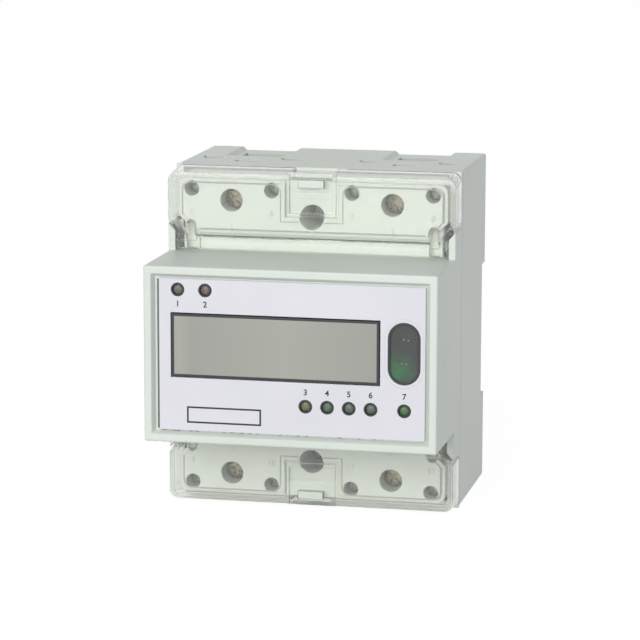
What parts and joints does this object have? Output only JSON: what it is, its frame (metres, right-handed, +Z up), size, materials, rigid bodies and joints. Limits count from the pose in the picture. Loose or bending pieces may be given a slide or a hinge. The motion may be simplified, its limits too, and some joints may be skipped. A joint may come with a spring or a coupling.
{
  "type": "din rail energy meter",
  "caption": "Rail-mounted electricity meter with blank display, optical port, status lamps, clear hinged terminal covers, rising-clamp terminals and a sprung rail clip.",
  "frame": {"origin": "middle of the rail seat at the back of the meter, on the plane that rests against the rail", "axes": "+Y out of the back towards the rail, +Z up the meter as it hangs on a level rail, +X to the right as seen from the front"},
  "size_m": [0.076, 0.074, 0.089],
  "materials": {
    "housing": "fine moulded grain",
    "cover": "clear, polished",
    "label": "printed foil",
    "display_frame": "satin",
    "display_glass": "polished",
    "display_carrier": "plain",
    "port_lens": "smoked, clear",
    "lamp": "tinted resin",
    "infrared": "dark resin",
    "board": "satin",
    "capacitor": "satin",
    "cell": "satin",
    "connector": "plain",
    "contact": "plain",
    "main_screw": "dull plating",
    "small_screw": "nickel plated",
    "cage": "zinc plated",
    "rail_clip": "plain"
  },
  "bodies": {
    "meter_body": {"base_housing": "housing", "front_housing": "housing", "front_label": "label", "display_frame": "display_frame", "display_glass": "display_glass", "display_carrier": "display_carrier", "port_lens": "port_lens", "power_lamp": "lamp", "pulse_lamp": "lamp", "reverse_lamp": "lamp", "tariff_lamp_1": "lamp", "tariff_lamp_2": "lamp", "tariff_lamp_3": "lamp", "data_lamp": "lamp", "infrared_sender": "infrared", "infrared_receiver": "infrared", "display_board": "board", "power_board": "board", "dropper_capacitor": "capacitor", "reservoir_capacitor": "capacitor", "clock_cell": "cell", "board_link": "connector", "current_shunt": "contact", "neutral_link": "contact", "main_contact_upper_left": "contact", "main_contact_upper_right": "contact", "main_contact_lower_left": "contact", "main_contact_lower_right": "contact", "housing_screw_upper": "small_screw", "housing_screw_lower": "small_screw"},
    "upper_cover": {"cover_upper": "cover"},
    "lower_cover": {"cover_lower": "cover"},
    "rail_clip_body": {"rail_clip": "rail_clip"},
    "main_screw_upper_left_body": {"main_screw_upper_left": "main_screw"},
    "main_cage_upper_left_body": {"main_cage_upper_left": "cage"},
    "main_screw_upper_right_body": {"main_screw_upper_right": "main_screw"},
    "main_cage_upper_right_body": {"main_cage_upper_right": "cage"},
    "auxiliary_screw_upper_1_body": {"auxiliary_screw_upper_1": "small_screw"},
    "auxiliary_cage_upper_1_body": {"auxiliary_cage_upper_1": "cage"},
    "auxiliary_screw_upper_2_body": {"auxiliary_screw_upper_2": "small_screw"},
    "auxiliary_cage_upper_2_body": {"auxiliary_cage_upper_2": "cage"},
    "auxiliary_screw_upper_3_body": {"auxiliary_screw_upper_3": "small_screw"},
    "auxiliary_cage_upper_3_body": {"auxiliary_cage_upper_3": "cage"},
    "auxiliary_screw_upper_4_body": {"auxiliary_screw_upper_4": "small_screw"},
    "auxiliary_cage_upper_4_body": {"auxiliary_cage_upper_4": "cage"},
    "main_screw_lower_left_body": {"main_screw_lower_left": "main_screw"},
    "main_cage_lower_left_body": {"main_cage_lower_left": "cage"},
    "main_screw_lower_right_body": {"main_screw_lower_right": "main_screw"},
    "main_cage_lower_right_body": {"main_cage_lower_right": "cage"},
    "auxiliary_screw_lower_1_body": {"auxiliary_screw_lower_1": "small_screw"},
    "auxiliary_cage_lower_1_body": {"auxiliary_cage_lower_1": "cage"},
    "auxiliary_screw_lower_2_body": {"auxiliary_screw_lower_2": "small_screw"},
    "auxiliary_cage_lower_2_body": {"auxiliary_cage_lower_2": "cage"},
    "auxiliary_screw_lower_3_body": {"auxiliary_screw_lower_3": "small_screw"},
    "auxiliary_cage_lower_3_body": {"auxiliary_cage_lower_3": "cage"},
    "auxiliary_screw_lower_4_body": {"auxiliary_screw_lower_4": "small_screw"},
    "auxiliary_cage_lower_4_body": {"auxiliary_cage_lower_4": "cage"}
  },
  "joints": [
    {"name": "upper_cover_hinge", "type": "hinge", "parent": "meter_body", "child": "upper_cover", "pos_m": [0, -0.042, 0.0283], "axis": [1, 0, 0], "range_deg": [0, 90]},
    {"name": "lower_cover_hinge", "type": "hinge", "parent": "meter_body", "child": "lower_cover", "pos_m": [0, -0.042, -0.0221], "axis": [-1, 0, 0], "range_deg": [0, 90]},
    {"name": "rail_clip_slide", "type": "slide", "parent": "meter_body", "child": "rail_clip_body", "axis": [0, 0, -1], "range_m": [0, 0.004], "stiffness_N_per_m": 2000, "springref_m": -0.001},
    {"name": "main_screw_upper_left_turn", "type": "hinge", "parent": "meter_body", "child": "main_screw_upper_left_body", "pos_m": [-0.0213, -0.0372, 0.0394], "axis": [0, 1, 0], "range_deg": [0, 2880]},
    {"name": "main_cage_upper_left_lift", "type": "slide", "parent": "meter_body", "child": "main_cage_upper_left_body", "axis": [0, -1, 0], "range_m": [0, 0.0064]},
    {"name": "main_screw_upper_right_turn", "type": "hinge", "parent": "meter_body", "child": "main_screw_upper_right_body", "pos_m": [0.0213, -0.0372, 0.0394], "axis": [0, 1, 0], "range_deg": [0, 2880]},
    {"name": "main_cage_upper_right_lift", "type": "slide", "parent": "meter_body", "child": "main_cage_upper_right_body", "axis": [0, -1, 0], "range_m": [0, 0.0064]},
    {"name": "auxiliary_screw_upper_1_turn", "type": "hinge", "parent": "meter_body", "child": "auxiliary_screw_upper_1_body", "pos_m": [-0.03195, -0.0372, 0.0422], "axis": [0, 1, 0], "range_deg": [0, 2520]},
    {"name": "auxiliary_cage_upper_1_lift", "type": "slide", "parent": "meter_body", "child": "auxiliary_cage_upper_1_body", "axis": [0, -1, 0], "range_m": [0, 0.0035]},
    {"name": "auxiliary_screw_upper_2_turn", "type": "hinge", "parent": "meter_body", "child": "auxiliary_screw_upper_2_body", "pos_m": [-0.01065, -0.0372, 0.0422], "axis": [0, 1, 0], "range_deg": [0, 2520]},
    {"name": "auxiliary_cage_upper_2_lift", "type": "slide", "parent": "meter_body", "child": "auxiliary_cage_upper_2_body", "axis": [0, -1, 0], "range_m": [0, 0.0035]},
    {"name": "auxiliary_screw_upper_3_turn", "type": "hinge", "parent": "meter_body", "child": "auxiliary_screw_upper_3_body", "pos_m": [0.01065, -0.0372, 0.0422], "axis": [0, 1, 0], "range_deg": [0, 2520]},
    {"name": "auxiliary_cage_upper_3_lift", "type": "slide", "parent": "meter_body", "child": "auxiliary_cage_upper_3_body", "axis": [0, -1, 0], "range_m": [0, 0.0035]},
    {"name": "auxiliary_screw_upper_4_turn", "type": "hinge", "parent": "meter_body", "child": "auxiliary_screw_upper_4_body", "pos_m": [0.03195, -0.0372, 0.0422], "axis": [0, 1, 0], "range_deg": [0, 2520]},
    {"name": "auxiliary_cage_upper_4_lift", "type": "slide", "parent": "meter_body", "child": "auxiliary_cage_upper_4_body", "axis": [0, -1, 0], "range_m": [0, 0.0035]},
    {"name": "main_screw_lower_left_turn", "type": "hinge", "parent": "meter_body", "child": "main_screw_lower_left_body", "pos_m": [-0.0213, -0.0372, -0.0332], "axis": [0, 1, 0], "range_deg": [0, 2880]},
    {"name": "main_cage_lower_left_lift", "type": "slide", "parent": "meter_body", "child": "main_cage_lower_left_body", "axis": [0, -1, 0], "range_m": [0, 0.0064]},
    {"name": "main_screw_lower_right_turn", "type": "hinge", "parent": "meter_body", "child": "main_screw_lower_right_body", "pos_m": [0.0213, -0.0372, -0.0332], "axis": [0, 1, 0], "range_deg": [0, 2880]},
    {"name": "main_cage_lower_right_lift", "type": "slide", "parent": "meter_body", "child": "main_cage_lower_right_body", "axis": [0, -1, 0], "range_m": [0, 0.0064]},
    {"name": "auxiliary_screw_lower_1_turn", "type": "hinge", "parent": "meter_body", "child": "auxiliary_screw_lower_1_body", "pos_m": [-0.03195, -0.0372, -0.036], "axis": [0, 1, 0], "range_deg": [0, 2520]},
    {"name": "auxiliary_cage_lower_1_lift", "type": "slide", "parent": "meter_body", "child": "auxiliary_cage_lower_1_body", "axis": [0, -1, 0], "range_m": [0, 0.0035]},
    {"name": "auxiliary_screw_lower_2_turn", "type": "hinge", "parent": "meter_body", "child": "auxiliary_screw_lower_2_body", "pos_m": [-0.01065, -0.0372, -0.036], "axis": [0, 1, 0], "range_deg": [0, 2520]},
    {"name": "auxiliary_cage_lower_2_lift", "type": "slide", "parent": "meter_body", "child": "auxiliary_cage_lower_2_body", "axis": [0, -1, 0], "range_m": [0, 0.0035]},
    {"name": "auxiliary_screw_lower_3_turn", "type": "hinge", "parent": "meter_body", "child": "auxiliary_screw_lower_3_body", "pos_m": [0.01065, -0.0372, -0.036], "axis": [0, 1, 0], "range_deg": [0, 2520]},
    {"name": "auxiliary_cage_lower_3_lift", "type": "slide", "parent": "meter_body", "child": "auxiliary_cage_lower_3_body", "axis": [0, -1, 0], "range_m": [0, 0.0035]},
    {"name": "auxiliary_screw_lower_4_turn", "type": "hinge", "parent": "meter_body", "child": "auxiliary_screw_lower_4_body", "pos_m": [0.03195, -0.0372, -0.036], "axis": [0, 1, 0], "range_deg": [0, 2520]},
    {"name": "auxiliary_cage_lower_4_lift", "type": "slide", "parent": "meter_body", "child": "auxiliary_cage_lower_4_body", "axis": [0, -1, 0], "range_m": [0, 0.0035]}
  ],
  "couplings": [
    {"joint": "main_screw_upper_left_turn", "follows": "main_cage_upper_left_lift", "rad_per_m": 7854},
    {"joint": "main_screw_upper_right_turn", "follows": "main_cage_upper_right_lift", "rad_per_m": 7854},
    {"joint": "auxiliary_screw_upper_1_turn", "follows": "auxiliary_cage_upper_1_lift", "rad_per_m": 12566},
    {"joint": "auxiliary_screw_upper_2_turn", "follows": "auxiliary_cage_upper_2_lift", "rad_per_m": 12566},
    {"joint": "auxiliary_screw_upper_3_turn", "follows": "auxiliary_cage_upper_3_lift", "rad_per_m": 12566},
    {"joint": "auxiliary_screw_upper_4_turn", "follows": "auxiliary_cage_upper_4_lift", "rad_per_m": 12566},
    {"joint": "main_screw_lower_left_turn", "follows": "main_cage_lower_left_lift", "rad_per_m": 7854},
    {"joint": "main_screw_lower_right_turn", "follows": "main_cage_lower_right_lift", "rad_per_m": 7854},
    {"joint": "auxiliary_screw_lower_1_turn", "follows": "auxiliary_cage_lower_1_lift", "rad_per_m": 12566},
    {"joint": "auxiliary_screw_lower_2_turn", "follows": "auxiliary_cage_lower_2_lift", "rad_per_m": 12566},
    {"joint": "auxiliary_screw_lower_3_turn", "follows": "auxiliary_cage_lower_3_lift", "rad_per_m": 12566},
    {"joint": "auxiliary_screw_lower_4_turn", "follows": "auxiliary_cage_lower_4_lift", "rad_per_m": 12566}
  ]
}
